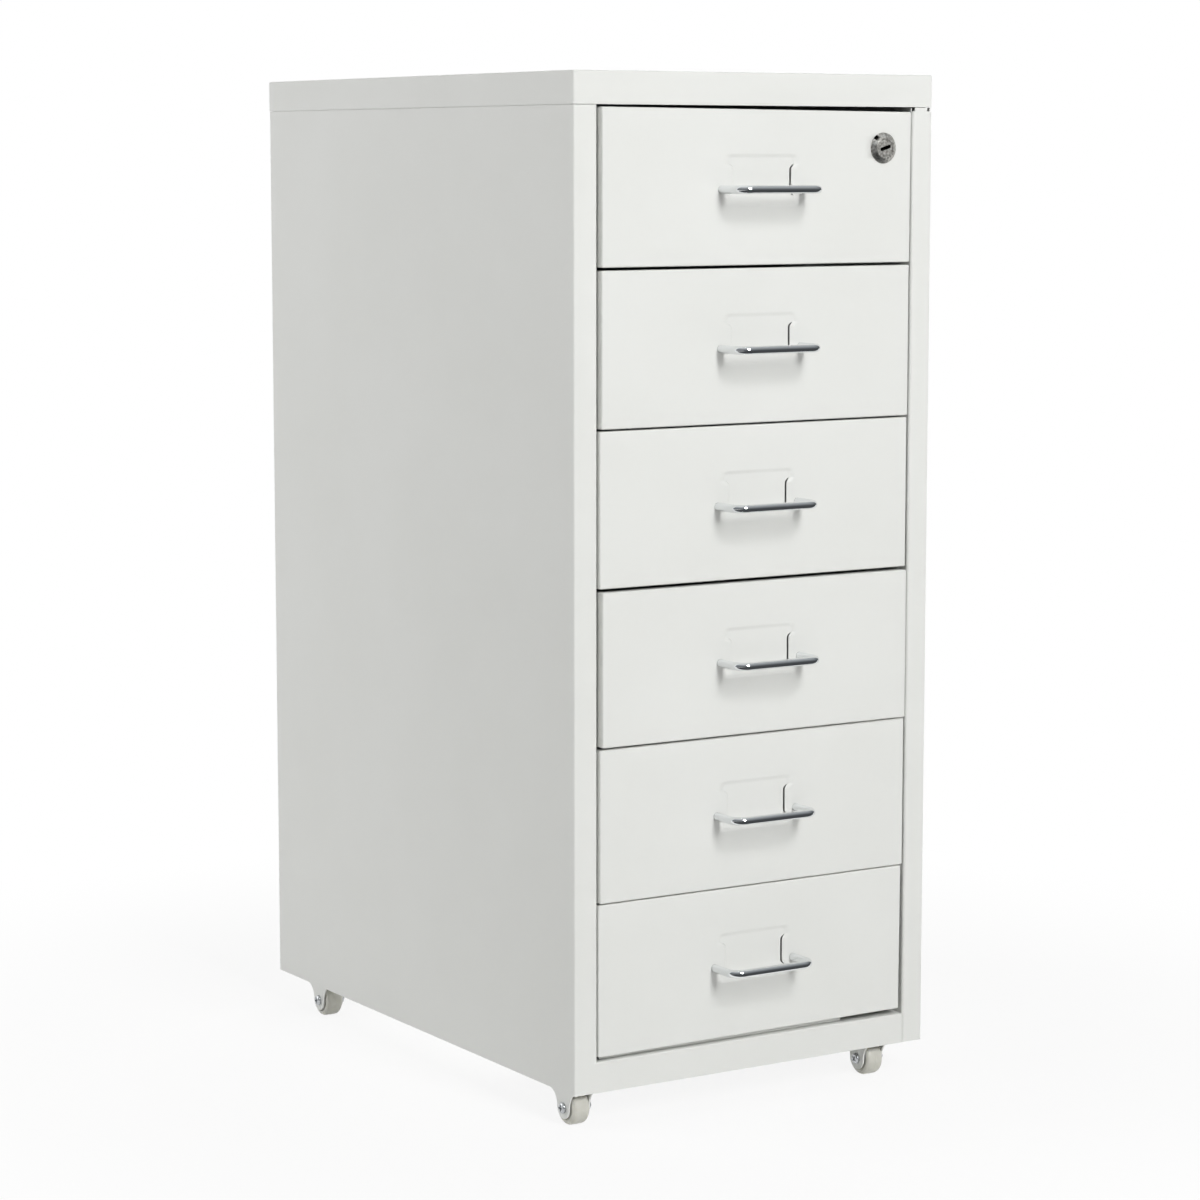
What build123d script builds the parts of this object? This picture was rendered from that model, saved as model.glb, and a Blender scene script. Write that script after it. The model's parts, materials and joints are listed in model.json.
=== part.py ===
from build123d import *
import os

os.makedirs("parts", exist_ok=True)

# Carcass: sheet steel, stiles beside the drawers, a pan for a lid and a pan for a floor
body_width = 285.0
body_depth = 428.0
sheet = 0.8
bend_radius = 1.2
stile_bend_radius = 2.0
left_stile_width = 18.0
right_stile_width = 16.4
return_depth = 12.0
floor_clearance = 22.4
rail_height = 20.7
rail_seam = 0.5
lid_height = 21.5
lid_seam = 0.3
strip_lap = 12.0
strip_inset = 6.0
wing_drop = 15.0
wing_gap = 1.5
hem_height = 1.5
hem_step = 0.25

# Bend reliefs at the top of the right stile
relief_height = 2.5
inner_relief_width = 2.0
outer_relief_width = 4.0

# Drawer fronts: their size, the gaps round them, and how far each stands open from the top down
front_height = 101.8
front_gap = 2.0
left_front_gap = 0.7
right_front_gap = 2.6
rail_gap = 2.7
lid_gap = 1.9
closed_proud = 0.2
rest_pulls = (4.4, 4.0, 1.6, 5.2, 2.0, 0.0)
pan_depth = 13.5
front_edge_radius = 1.3
front_corner_radius = 2.0

# Label pocket: a tongue pressed back between two lanced slits that curl outwards at their ends,
# with a closed lead and a ramp above and below
label_width = 46.0
label_height = 35.0
label_drop = 29.0
label_depth = 1.2
label_ramp = 2.5
label_bend_radius = 3.0
label_slit = 0.5
label_lead = 7.0
label_curl = 2.7
label_curl_angle = 28.0

# Drawer trays, the channels they run in, and the stops that end their travel
tray_side_gap = 11.5
tray_rear_gap = 20.2
tray_top_drop = 10.0
tray_lift = 1.5
tray_seam = 0.05
tray_flange_gap = 0.3
runner_slot = 6.0
runner_play = 0.2
runner_lip_gap = 2.5
runner_end_gap = 3.5
drawer_overlap = 105.0
stop_clearance = 0.2
stop_tab_drop = 3.0
stop_lug_height = 4.5
stop_lug_width = 5.0

# Wire pulls and the screws behind them
wire_diameter = 6.0
handle_foot_gap = 9.0
handle_reach = 24.0
handle_bend_radius = 8.0
handle_drop = 52.5
handle_screw_radius = 1.9
handle_thread_depth = 8.0
handle_head_radius = 3.6
handle_head_height = 2.2

# Cross recesses of all screws, each turned a little further than the last on the axles
cross_length = 4.4
cross_width = 1.0
cross_depth = 1.1
cross_turn = 35.0

# Clearances: thread or shank in its bore, shank through a hole, and a running fit
thread_clearance = 0.05
hole_clearance = 0.25
running_clearance = 0.05

# Cam lock
lock_wall_gap = 15.5
lock_drop = 25.5
lock_flange_radius = 10.25
lock_flange_height = 4.5
lock_flange_bevel = 1.6
lock_notch_width = 2.0
lock_notch_depth = 1.8
lock_notch_angle = 135.0
lock_barrel_radius = 8.0
lock_barrel_length = 17.0
lock_plug_radius = 5.6
lock_plug_recess = 0.5
lock_nut_across = 22.0
lock_nut_thickness = 3.0
key_slot_length = 8.0
key_slot_width = 1.8
key_slot_depth = 6.0
key_slot_tilt = 14.0
cam_gap = 0.3
cam_thickness = 2.0
cam_length = 32.0
cam_width = 13.0
cam_square = 7.0
cam_screw_head_radius = 4.5
cam_screw_head_height = 2.5
cam_screw_radius = 2.0
cam_screw_depth = 8.0
strike_width = 24.0
strike_sheet = 1.2
strike_bend_radius = 2.0
strike_foot = 14.0
strike_leg = 20.7
strike_gap = 0.4

# Castors: wheel, ears, axle screw, sleeve and nut
wheel_radius = 11.8
wheel_width = 13.0
wheel_shoulder = 3.0
wheel_side_play = 0.6
wheel_dish = 0.8
wheel_hub_radius = 5.0
wheel_rim = 2.6
front_axle_setback = 14.2
rear_axle_inset = 65.0
right_wheel_inset = 37.0
ear_half_width = 7.4
ear_front_foot = 12.0
ear_rear_foot = 15.5
fork_sheet = 1.2
fork_bend_radius = 2.0
axle_radius = 2.0
axle_head_radius = 3.7
axle_head_height = 2.2
axle_head_round = 1.3
sleeve_wall = 1.0
nut_across = 7.0
nut_height = 3.2
axle_end = 1.0

# Screws that hold the back panel
back_screw_rows = 4
back_screw_radius = 1.75
back_screw_length = 8.0
back_head_radius = 3.4
back_head_height = 1.6
back_screw_margin = 40.0
back_screw_inset = 8.5

# Heights, worked out from the floor upwards
drawer_count = len(rest_pulls)
rail_top = floor_clearance + rail_height
front_pitch = front_height + front_gap
first_front_bottom = rail_top + rail_gap + (drawer_count - 1) * front_pitch
lid_bottom = first_front_bottom + front_height + lid_gap
body_top = lid_bottom + lid_height
wall_top = lid_bottom - lid_seam
axle_z = wheel_radius

# Places across and along: the origin is under the middle of everything that sticks out
handle_stand_out = closed_proud + max(rest_pulls) + handle_reach + wire_diameter / 2
front_y = (handle_stand_out - body_depth - back_head_height) / 2
back_y = front_y + body_depth
rear_flange_y = back_y - sheet
closed_face_y = front_y - closed_proud
body_x = axle_head_height / 2
left_x = body_x - body_width / 2
opening_left_x = left_x + left_stile_width
opening_right_x = left_x + body_width - right_stile_width
opening_width = opening_right_x - opening_left_x
front_width = opening_width - left_front_gap - right_front_gap
front_x = opening_left_x + left_front_gap + front_width / 2
handle_centres = label_width + 2 * handle_foot_gap
runner_front_y = closed_face_y + pan_depth + stop_clearance
runner_rear_y = rear_flange_y - return_depth - stop_clearance
tray_width = opening_width - 2 * tray_side_gap
tray_depth = runner_rear_y - tray_rear_gap - closed_face_y - sheet
drawer_travel = tray_depth - drawer_overlap
lock_x = front_x + tray_width / 2 - lock_wall_gap
rear_axle_setback = body_depth - rear_axle_inset
right_wheel_x = body_x + body_width / 2 - right_wheel_inset
ear_gap = wheel_width + 2 * wheel_side_play
left_wheel_x = left_x + sheet + ear_gap / 2
sleeve_radius = axle_radius + thread_clearance + sleeve_wall
wall_middle_z = (floor_clearance + wall_top) / 2
back_screw_pitch = (wall_top - floor_clearance - 2 * back_screw_margin) / (back_screw_rows - 1)
floor_left_x = opening_left_x + rail_seam
floor_right_x = opening_right_x - rail_seam
rail_left_x = opening_left_x - stile_bend_radius

# Each castor: name, wheel centre, axle setback, and whether its fork has both ears.
# On the left the side panel is the outer ear, and on the right the forks stand further in.
castors = (
    ("front_left", left_wheel_x, front_axle_setback, False),
    ("front_right", right_wheel_x, front_axle_setback, True),
    ("rear_left", left_wheel_x, rear_axle_setback, False),
    ("rear_right", right_wheel_x, rear_axle_setback, True),
)


def upright(y):
    """Plane across the cabinet at a given depth, facing the front."""
    return Plane.XZ.offset(-y)


def folded_sheet(plane, points, thickness, inner_side, radius=bend_radius, lead_points=(),
                 lead_radius=bend_radius):
    """Section of a folded sheet: flats and round bends, thickened towards one side.

    The lead is a first run of points with bends of its own radius, and ends where the others begin."""
    with BuildSketch(plane) as section:
        with BuildLine():
            if lead_points:
                FilletPolyline(*lead_points, radius=lead_radius)
            FilletPolyline(*points, radius=radius)
            offset(amount=thickness, side=inner_side)
        make_face()
    return section.sketch


def ear(plane, setback, shoulder_z):
    """Castor ear: a tongue, round under the axle, whose sides flare up to a wide foot."""
    centre = front_y + setback
    front_foot = (centre - ear_front_foot, floor_clearance)
    rear_foot = (centre + ear_rear_foot, floor_clearance)
    front_side = (centre - ear_half_width, axle_z)
    rear_side = (centre + ear_half_width, axle_z)
    with BuildSketch(plane) as outline:
        with BuildLine():
            ThreePointArc(front_side, (centre, axle_z - ear_half_width), rear_side)
            TangentArc(rear_side, rear_foot, tangent=(0, 1))
            Line(rear_foot, front_foot)
            TangentArc(front_side, front_foot, tangent=(0, 1))
        make_face()
        if shoulder_z > floor_clearance:
            with Locations(front_foot):
                Rectangle(ear_front_foot + ear_rear_foot, shoulder_z - floor_clearance,
                          align=(Align.MIN, Align.MIN))
        with Locations((centre, axle_z)):
            Circle(axle_radius + hole_clearance, mode=Mode.SUBTRACT)
    return outline.sketch


# Side panels: return, stile, wall, rear flange and rear return folded from one sheet
panel_sides = ((-1, "left_side_panel", opening_left_x), (1, "right_side_panel", opening_right_x))
for side, name, return_x in panel_sides:
    outer_x = body_x + side * body_width / 2
    stile_middle = ((return_x + outer_x) / 2, front_y)
    stile_points = ((return_x, front_y + return_depth), (return_x, front_y), stile_middle)
    fold_points = (
        stile_middle,
        (outer_x, front_y),
        (outer_x, rear_flange_y),
        (return_x, rear_flange_y),
        (return_x, rear_flange_y - return_depth),
    )
    inner_side = Side.RIGHT if side < 0 else Side.LEFT
    with BuildPart() as side_panel:
        extrude(folded_sheet(Plane.XY.offset(floor_clearance), fold_points, sheet, inner_side,
                             lead_points=stile_points, lead_radius=stile_bend_radius),
                amount=wall_top - floor_clearance)
        # Strip welded inside the wall, which the lid slips over
        with BuildSketch(Plane.XY.offset(wall_top - strip_lap)):
            with Locations((outer_x - side * (sheet + sheet / 2), (front_y + rear_flange_y) / 2)):
                Rectangle(sheet, rear_flange_y - front_y - 2 * strip_inset)
        extrude(amount=strip_lap + body_top - bend_radius - wall_top)
        # Holes for the screws of the back panel
        with BuildSketch(upright(rear_flange_y)):
            with Locations((outer_x - side * back_screw_inset, wall_middle_z)):
                with GridLocations(0, back_screw_pitch, 1, back_screw_rows):
                    Circle(back_screw_radius + hole_clearance)
        extrude(amount=sheet, mode=Mode.SUBTRACT)
        if side < 0:
            # Ears that carry the outer ends of the left axles
            for setback in (front_axle_setback, rear_axle_setback):
                extrude(ear(Plane.YZ.offset(left_x), setback, floor_clearance), amount=sheet)
            # The return stops above the rail, which runs on to the flat of this stile
            with BuildSketch(upright(front_y)):
                with Locations((rail_left_x, floor_clearance)):
                    Rectangle(return_x + sheet - rail_left_x, rail_height, align=(Align.MIN, Align.MIN))
            extrude(amount=-return_depth, mode=Mode.SUBTRACT)
            # Step along the hem at the foot of the stile
            with BuildSketch(upright(front_y)):
                with Locations((left_x + bend_radius, floor_clearance)):
                    Rectangle(rail_left_x - left_x - bend_radius, hem_height, align=(Align.MIN, Align.MIN))
            extrude(amount=-hem_step, mode=Mode.SUBTRACT)
        else:
            # Bend reliefs under the lid
            with BuildSketch(upright(front_y)):
                with Locations((return_x, wall_top)):
                    Rectangle(inner_relief_width, relief_height, align=(Align.MIN, Align.MAX))
                with Locations((outer_x, wall_top)):
                    Rectangle(outer_relief_width, relief_height, align=(Align.MAX, Align.MAX))
            extrude(amount=-stile_bend_radius, mode=Mode.SUBTRACT)
    side_panel.part.label = name
    export_step(side_panel.part, f"parts/{name}.step")

# Lid: a pan turned upside down
with BuildPart() as top_panel:
    with BuildSketch(Plane.XY.offset(lid_bottom)):
        with Locations((body_x, front_y + body_depth / 2)):
            RectangleRounded(body_width, body_depth, bend_radius)
    extrude(amount=lid_height)
    fillet(top_panel.faces().sort_by(Axis.Z)[-1].edges(), bend_radius)
    offset(amount=-sheet, openings=top_panel.faces().sort_by(Axis.Z)[0])
top_panel.part.label = "top_panel"
export_step(top_panel.part, "parts/top_panel.step")

# Floor pan: rail in front, rear flange, and wings that lie against the side walls
rail_points = (
    (front_y, floor_clearance),
    (front_y, rail_top),
    (rear_flange_y, rail_top),
    (rear_flange_y, floor_clearance),
)
rail_end_points = (*rail_points[:2], (front_y + return_depth, rail_top))
wing_y = front_y + return_depth + wing_gap
wing_length = rear_flange_y - return_depth - wing_gap - wing_y
with BuildPart() as bottom_panel:
    extrude(folded_sheet(Plane.YZ.offset(floor_left_x), rail_points, sheet, Side.RIGHT),
            amount=floor_right_x - floor_left_x)
    # The left end of the rail, which meets the stile
    extrude(folded_sheet(Plane.YZ.offset(rail_left_x), rail_end_points, sheet, Side.RIGHT),
            amount=floor_left_x - rail_left_x)
    for side, floor_edge_x in ((-1, floor_left_x), (1, floor_right_x)):
        wall_x = body_x + side * (body_width / 2 - sheet)
        wing_points = (
            (floor_edge_x, rail_top),
            (wall_x, rail_top),
            (wall_x, rail_top - wing_drop),
        )
        extrude(folded_sheet(upright(wing_y), wing_points, sheet, Side.LEFT if side < 0 else Side.RIGHT),
                amount=-wing_length)
bottom_panel.part.label = "bottom_panel"
export_step(bottom_panel.part, "parts/bottom_panel.step")

# Back panel: a flat sheet screwed to the rear flanges
with BuildPart() as back_panel:
    with BuildSketch(upright(back_y)):
        with Locations((body_x, wall_middle_z)):
            Rectangle(body_width - 2 * bend_radius, wall_top - floor_clearance)
            with GridLocations(body_width - 2 * back_screw_inset, back_screw_pitch, 2, back_screw_rows):
                Circle(back_screw_radius + hole_clearance, mode=Mode.SUBTRACT)
    extrude(amount=sheet)
back_panel.part.label = "back_panel"
export_step(back_panel.part, "parts/back_panel.step")

with BuildPart() as panel_screws:
    with BuildSketch(upright(back_y)):
        with Locations((body_x, wall_middle_z)):
            with GridLocations(body_width - 2 * back_screw_inset, back_screw_pitch, 2, back_screw_rows):
                Circle(back_head_radius)
    extrude(amount=-back_head_height)
    fillet(panel_screws.edges().group_by(Axis.Y)[-1], back_head_height / 2)
    with BuildSketch(upright(back_y)):
        with Locations((body_x, wall_middle_z)):
            with GridLocations(body_width - 2 * back_screw_inset, back_screw_pitch, 2, back_screw_rows):
                Circle(back_screw_radius)
    extrude(amount=back_screw_length)
    with BuildSketch(upright(back_y + back_head_height)):
        with Locations((body_x, wall_middle_z)):
            with GridLocations(body_width - 2 * back_screw_inset, back_screw_pitch, 2, back_screw_rows):
                Rectangle(cross_length, cross_width)
                Rectangle(cross_width, cross_length)
    extrude(amount=cross_depth, mode=Mode.SUBTRACT)
panel_screws.part.label = "panel_screws"
export_step(panel_screws.part, "parts/panel_screws.step")

# Castors: inner brackets, wheels, and the axles in groups
fork_top = rail_top - sheet
ear_bottom = axle_z - ear_half_width
web_end_x = left_x + 2 * sheet + bend_radius
for name, wheel_x, setback, two_ears in castors:
    left_ear_x = wheel_x - ear_gap / 2 - fork_sheet
    right_ear_x = wheel_x + ear_gap / 2 + fork_sheet
    web_start = ((left_ear_x, ear_bottom), (left_ear_x, fork_top)) if two_ears else ((web_end_x, fork_top),)
    fork_points = (*web_start, (right_ear_x, fork_top), (right_ear_x, ear_bottom))
    fork_front = upright(front_y + setback - ear_front_foot)
    with BuildPart() as castor_fork:
        extrude(folded_sheet(fork_front, fork_points, fork_sheet, Side.RIGHT, fork_bend_radius),
                amount=-(ear_front_foot + ear_rear_foot))
        extrude(ear(Plane.YZ.offset(left_ear_x), setback, fork_top),
                amount=right_ear_x - left_ear_x, mode=Mode.INTERSECT)
    castor_fork.part.label = f"castor_fork_{name}"
    export_step(castor_fork.part, f"parts/castor_fork_{name}.step")

    axle = Plane((wheel_x, front_y + setback, axle_z), x_dir=(1, 0, 0), z_dir=(0, -1, 0))
    dish_outer = wheel_radius - wheel_rim
    with BuildPart() as castor_wheel:
        with BuildSketch(axle) as half_section:
            Rectangle(wheel_width, wheel_radius, align=(Align.CENTER, Align.MIN))
            fillet(half_section.vertices().group_by(Axis.Y)[-1], wheel_shoulder)
            Rectangle(wheel_width, sleeve_radius + running_clearance, align=(Align.CENTER, Align.MIN),
                      mode=Mode.SUBTRACT)
            with Locations((0, (wheel_hub_radius + dish_outer) / 2)):
                with GridLocations(wheel_width, 0, 2, 1):
                    Rectangle(2 * wheel_dish, dish_outer - wheel_hub_radius, mode=Mode.SUBTRACT)
        revolve(axis=Axis(axle.origin, axle.x_dir))
    castor_wheel.part.label = f"castor_wheel_{name}"
    export_step(castor_wheel.part, f"parts/castor_wheel_{name}.step")

with BuildPart() as castor_sleeves:
    for name, wheel_x, setback, two_ears in castors:
        with BuildSketch(Plane.YZ.offset(wheel_x - ear_gap / 2)):
            with Locations((front_y + setback, axle_z)):
                Circle(sleeve_radius)
                Circle(axle_radius + thread_clearance, mode=Mode.SUBTRACT)
        extrude(amount=ear_gap)
castor_sleeves.part.label = "castor_sleeves"
export_step(castor_sleeves.part, "parts/castor_sleeves.step")

with BuildPart() as castor_screws:
    for index, (name, wheel_x, setback, two_ears) in enumerate(castors):
        head_x = wheel_x - ear_gap / 2 - (fork_sheet if two_ears else sheet)
        end_x = wheel_x + ear_gap / 2 + fork_sheet + nut_height + axle_end
        with BuildSketch(Plane((head_x, front_y + setback, axle_z), x_dir=(1, 0, 0), z_dir=(0, -1, 0))):
            with BuildLine():
                Polyline((-axle_head_height, 0), (end_x - head_x, 0), (end_x - head_x, axle_radius),
                         (0, axle_radius), (0, axle_head_radius))
                Line((0, axle_head_radius), (axle_head_round - axle_head_height, axle_head_radius))
                JernArc((axle_head_round - axle_head_height, axle_head_radius), (-1, 0), axle_head_round, 90)
                Line((-axle_head_height, axle_head_radius - axle_head_round), (-axle_head_height, 0))
            make_face()
        revolve(axis=Axis((head_x, front_y + setback, axle_z), (1, 0, 0)))
        with BuildSketch(Plane.YZ.offset(head_x - axle_head_height)):
            with Locations((front_y + setback, axle_z)):
                Rectangle(cross_length, cross_width, rotation=index * cross_turn)
                Rectangle(cross_width, cross_length, rotation=index * cross_turn)
        extrude(amount=cross_depth, mode=Mode.SUBTRACT)
castor_screws.part.label = "castor_screws"
export_step(castor_screws.part, "parts/castor_screws.step")

with BuildPart() as castor_nuts:
    for name, wheel_x, setback, two_ears in castors:
        with BuildSketch(Plane.YZ.offset(wheel_x + ear_gap / 2 + fork_sheet)):
            with Locations((front_y + setback, axle_z)):
                RegularPolygon(nut_across / 2, 6, major_radius=False)
                Circle(axle_radius + thread_clearance, mode=Mode.SUBTRACT)
        extrude(amount=nut_height)
castor_nuts.part.label = "castor_nuts"
export_step(castor_nuts.part, "parts/castor_nuts.step")

# Drawers, from the top down
for number, pull in enumerate(rest_pulls, start=1):
    face_y = closed_face_y - pull
    front_bottom = first_front_bottom - (number - 1) * front_pitch
    front_top = front_bottom + front_height
    handle_z = front_top - handle_drop
    lock_z = front_top - lock_drop
    has_lock = number == 1
    label_top = front_top - label_drop
    label_bottom = label_top - label_height
    label_middle = (label_top + label_bottom) / 2
    tray_top = front_top - tray_top_drop
    tray_bottom = front_bottom + tray_lift
    slit_half = label_height / 2 - label_lead
    tray_front_y = face_y + sheet
    tray_rear_y = tray_front_y + tray_depth
    flange_y = face_y + pan_depth + tray_flange_gap
    tray_inside_y = tray_front_y + sheet

    # Front: a pan with its flanges turned back, pierced for the pull, the label pocket and the lock
    with BuildPart() as drawer_front:
        with BuildSketch(upright(face_y)):
            with Locations((front_x, (front_bottom + front_top) / 2)):
                RectangleRounded(front_width, front_height, front_corner_radius)
        extrude(amount=-pan_depth)
        fillet(drawer_front.faces().sort_by(Axis.Y)[0].edges(), front_edge_radius)
        offset(amount=-sheet, openings=drawer_front.faces().sort_by(Axis.Y)[-1])
        with BuildSketch(upright(face_y)):
            with Locations((front_x, handle_z)):
                with GridLocations(handle_centres, 0, 2, 1):
                    Circle(handle_screw_radius + hole_clearance)
            if has_lock:
                with Locations((lock_x, lock_z)):
                    Circle(lock_barrel_radius + hole_clearance)
        extrude(amount=-sheet, mode=Mode.SUBTRACT)
        # Pocket: the sheet bulges behind by as much as it is pressed in at the front
        for setback, mode in ((sheet, Mode.ADD), (0, Mode.SUBTRACT)):
            start_y = face_y + setback - sheet / 2
            rim_y = face_y + setback
            deep_y = rim_y + label_depth
            with BuildSketch(Plane.YZ.offset(front_x - label_width / 2 - setback)) as press:
                with BuildLine():
                    Polyline((start_y, label_top), (rim_y, label_top),
                             (deep_y, label_top - label_ramp), (deep_y, label_bottom + label_ramp),
                             (rim_y, label_bottom), (start_y, label_bottom), close=True)
                make_face()
                fillet(press.vertices().group_by(Axis.X)[-1], label_bend_radius)
            extrude(amount=label_width + 2 * setback, mode=mode)
        # Slits free the sides of the tongue and curl out into the face
        with BuildSketch(upright(face_y + sheet)):
            with Locations((front_x, label_middle)):
                with GridLocations(label_width + sheet - label_slit, 0, 2, 1):
                    Rectangle(sheet + label_slit, 2 * slit_half)
        extrude(amount=-label_depth, mode=Mode.SUBTRACT)
        with BuildSketch(upright(face_y)):
            for across in (-1, 1):
                slit_x = front_x + across * (label_width / 2 - label_slit)
                for up in (-1, 1):
                    with Locations((slit_x, label_middle + up * slit_half)):
                        Rectangle(label_curl, label_slit, rotation=across * up * label_curl_angle,
                                  align=(Align.MIN if across > 0 else Align.MAX, Align.CENTER))
        extrude(amount=-(sheet + label_depth), mode=Mode.SUBTRACT)
    drawer_front.part.label = f"drawer_front_{number}"
    export_step(drawer_front.part, f"parts/drawer_front_{number}.step")

    # Tray: a floor, two end walls, and sides with flanges turned out that carry a lug for the stop
    lug_y = runner_front_y + sheet + drawer_travel - pull
    plate_width = tray_width - 2 * sheet - 2 * tray_seam
    wall_bottom = tray_bottom + sheet + tray_seam
    with BuildPart() as drawer_tray:
        for side in (-1, 1):
            side_points = (
                (front_x + side * front_width / 2, tray_top),
                (front_x + side * tray_width / 2, tray_top),
                (front_x + side * tray_width / 2, tray_bottom),
            )
            extrude(folded_sheet(upright(tray_front_y), side_points, sheet,
                                 Side.LEFT if side < 0 else Side.RIGHT),
                    amount=-tray_depth)
        with BuildSketch(upright(tray_front_y)):
            with Locations((front_x, tray_bottom)):
                Rectangle(plate_width, sheet, align=(Align.CENTER, Align.MIN))
        extrude(amount=-tray_depth)
        for wall_y in (tray_front_y, tray_rear_y - sheet):
            with BuildSketch(upright(wall_y)):
                with Locations((front_x, wall_bottom)):
                    Rectangle(plate_width, tray_top - wall_bottom, align=(Align.CENTER, Align.MIN))
            extrude(amount=-sheet)
        with BuildSketch(upright(lug_y)):
            with Locations((front_x, tray_top)):
                with GridLocations((tray_width + front_width) / 2, 0, 2, 1):
                    Rectangle(stop_lug_width, stop_lug_height, align=(Align.CENTER, Align.MIN))
        extrude(amount=-sheet)
        # The flanges stop short of the pan, and the front wall is pierced like the front
        with BuildSketch(Plane.XY.offset(tray_bottom + bend_radius)):
            with Locations((front_x, tray_front_y)):
                with GridLocations(front_width, 0, 2, 1):
                    Rectangle(front_width - tray_width, 2 * (flange_y - tray_front_y))
        extrude(amount=front_height, mode=Mode.SUBTRACT)
        with BuildSketch(upright(tray_front_y)):
            with Locations((front_x, label_middle)):
                Rectangle(label_width + 2 * label_curl, label_height + 2 * sheet)
            with Locations((front_x, handle_z)):
                with GridLocations(handle_centres, 0, 2, 1):
                    Circle(handle_screw_radius + hole_clearance)
            if has_lock:
                with Locations((lock_x, lock_z)):
                    Circle(lock_barrel_radius + hole_clearance)
        extrude(amount=-sheet, mode=Mode.SUBTRACT)
    drawer_tray.part.label = f"drawer_tray_{number}"
    export_step(drawer_tray.part, f"parts/drawer_tray_{number}.step")

    # Pull: one bent wire, drilled at both ends for its screws
    foot = handle_centres / 2
    with BuildPart() as handle:
        with BuildLine(Plane.XY.offset(handle_z)):
            FilletPolyline(
                (front_x - foot, face_y),
                (front_x - foot, face_y - handle_reach),
                (front_x + foot, face_y - handle_reach),
                (front_x + foot, face_y),
                radius=handle_bend_radius,
            )
        with BuildSketch(upright(face_y)):
            with Locations((front_x - foot, handle_z)):
                Circle(wire_diameter / 2)
        sweep()
        with BuildSketch(upright(face_y)):
            with Locations((front_x, handle_z)):
                with GridLocations(handle_centres, 0, 2, 1):
                    Circle(handle_screw_radius + thread_clearance)
        extrude(amount=handle_thread_depth, mode=Mode.SUBTRACT)
    handle.part.label = f"handle_{number}"
    export_step(handle.part, f"parts/handle_{number}.step")

    with BuildPart() as handle_screws:
        with BuildSketch(upright(tray_inside_y)):
            with Locations((front_x, handle_z)):
                with GridLocations(handle_centres, 0, 2, 1):
                    Circle(handle_head_radius)
        extrude(amount=-handle_head_height)
        with BuildSketch(upright(tray_inside_y)):
            with Locations((front_x, handle_z)):
                with GridLocations(handle_centres, 0, 2, 1):
                    Circle(handle_screw_radius)
        extrude(amount=2 * sheet + handle_thread_depth - thread_clearance)
        with BuildSketch(upright(tray_inside_y + handle_head_height)):
            with Locations((front_x, handle_z)):
                with GridLocations(handle_centres, 0, 2, 1):
                    Rectangle(cross_length, cross_width)
                    Rectangle(cross_width, cross_length)
        extrude(amount=cross_depth, mode=Mode.SUBTRACT)
    handle_screws.part.label = f"handle_screws_{number}"
    export_step(handle_screws.part, f"parts/handle_screws_{number}.step")

    # Channels: the tray flange lies on the lower lip, and a tab at the front catches its lug
    lower_lip_z = tray_top - runner_play
    for side, hand, opening_x in ((-1, "left", opening_left_x), (1, "right", opening_right_x)):
        web_x = opening_x + side * 2 * sheet
        lip_x = front_x + side * (tray_width / 2 + runner_lip_gap)
        runner_points = (
            (lip_x, lower_lip_z - sheet),
            (web_x, lower_lip_z - sheet),
            (web_x, lower_lip_z + runner_slot + sheet),
            (lip_x, lower_lip_z + runner_slot + sheet),
        )
        web_height = runner_slot + 2 * sheet - 2 * bend_radius
        web_front_y = front_y + runner_end_gap
        web_rear_y = rear_flange_y - runner_end_gap
        with BuildPart() as runner:
            extrude(folded_sheet(upright(runner_front_y), runner_points, sheet,
                                 Side.RIGHT if side < 0 else Side.LEFT),
                    amount=runner_front_y - runner_rear_y)
            # The web runs on at both ends, where it is welded to the returns of the side panel
            with BuildSketch(Plane.YZ.offset(web_x)):
                with Locations(((web_front_y + web_rear_y) / 2, lower_lip_z + runner_slot / 2)):
                    Rectangle(web_rear_y - web_front_y, web_height)
            extrude(amount=-side * sheet)
            with BuildSketch(upright(runner_front_y)):
                with Locations(((lip_x + web_x) / 2, lower_lip_z + runner_slot)):
                    Rectangle(abs(web_x - lip_x) - 2 * sheet, stop_tab_drop, align=(Align.CENTER, Align.MAX))
            extrude(amount=-sheet)
        runner.part.label = f"runner_{hand}_{number}"
        export_step(runner.part, f"parts/runner_{hand}_{number}.step")

# Cam lock of the top drawer
lock_face_y = closed_face_y - rest_pulls[0]
lock_axis_z = first_front_bottom + front_height - lock_drop
lock_axis = Plane((lock_x, lock_face_y, lock_axis_z), x_dir=(1, 0, 0), z_dir=(0, -1, 0))
barrel_end_y = lock_face_y + lock_barrel_length
cam_y = barrel_end_y + cam_gap

with BuildPart() as lock_body:
    with BuildSketch(lock_axis):
        Circle(lock_flange_radius)
    extrude(amount=lock_flange_height)
    chamfer(lock_body.edges().group_by(Axis.Y)[0], lock_flange_bevel)
    # Index notch in the rim
    with BuildSketch(lock_axis):
        with PolarLocations(lock_flange_radius, 1, start_angle=lock_notch_angle):
            Rectangle(2 * lock_notch_depth, lock_notch_width)
    extrude(amount=lock_flange_height, mode=Mode.SUBTRACT)
    with BuildSketch(lock_axis):
        Circle(lock_barrel_radius)
    extrude(amount=-lock_barrel_length)
    with BuildSketch(upright(barrel_end_y)):
        with Locations((lock_x, lock_axis_z)):
            Circle(lock_plug_radius + running_clearance)
    extrude(amount=lock_barrel_length + lock_flange_height, mode=Mode.SUBTRACT)
lock_body.part.label = "lock_body"
export_step(lock_body.part, "parts/lock_body.step")

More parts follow.
